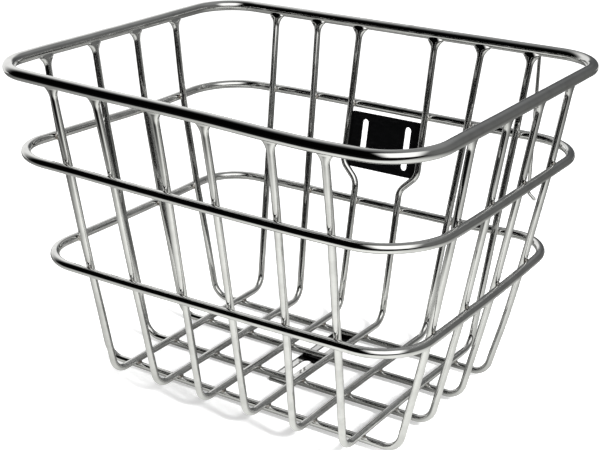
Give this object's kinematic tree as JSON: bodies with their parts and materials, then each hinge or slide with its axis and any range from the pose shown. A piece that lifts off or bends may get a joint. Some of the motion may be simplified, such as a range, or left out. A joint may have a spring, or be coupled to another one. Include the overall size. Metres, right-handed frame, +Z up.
{
  "type": "bicycle basket",
  "caption": "Front bicycle basket of welded polished wire: tapered rounded box with a thick rim, two outer rings, a black slotted rear plate, a slotted floor strap and a hanging hook.",
  "frame": {"origin": "middle of the basket at the underside of its floor strap, which it stands on", "axes": "+X across the basket, +Y to its back where the black plate is, +Z up"},
  "size_m": [0.4016, 0.3277, 0.2788],
  "materials": {
    "polished_wire": "bright polish",
    "black_plate": "satin paint",
    "polished_strap": "bright polish"
  },
  "bodies": {
    "root": {"top_rim": "polished_wire", "middle_ring": "polished_wire", "lower_ring": "polished_wire", "front_back_wire_1": "polished_wire", "front_back_wire_2": "polished_wire", "front_back_wire_3": "polished_wire", "front_back_wire_4": "polished_wire", "front_back_wire_5": "polished_wire", "front_back_wire_6": "polished_wire", "left_right_wire_1": "polished_wire", "left_right_wire_2": "polished_wire", "left_right_wire_3": "polished_wire", "left_right_wire_4": "polished_wire", "rear_plate": "black_plate", "floor_plate": "polished_strap", "hanging_hook": "polished_wire"}
  },
  "joints": []
}
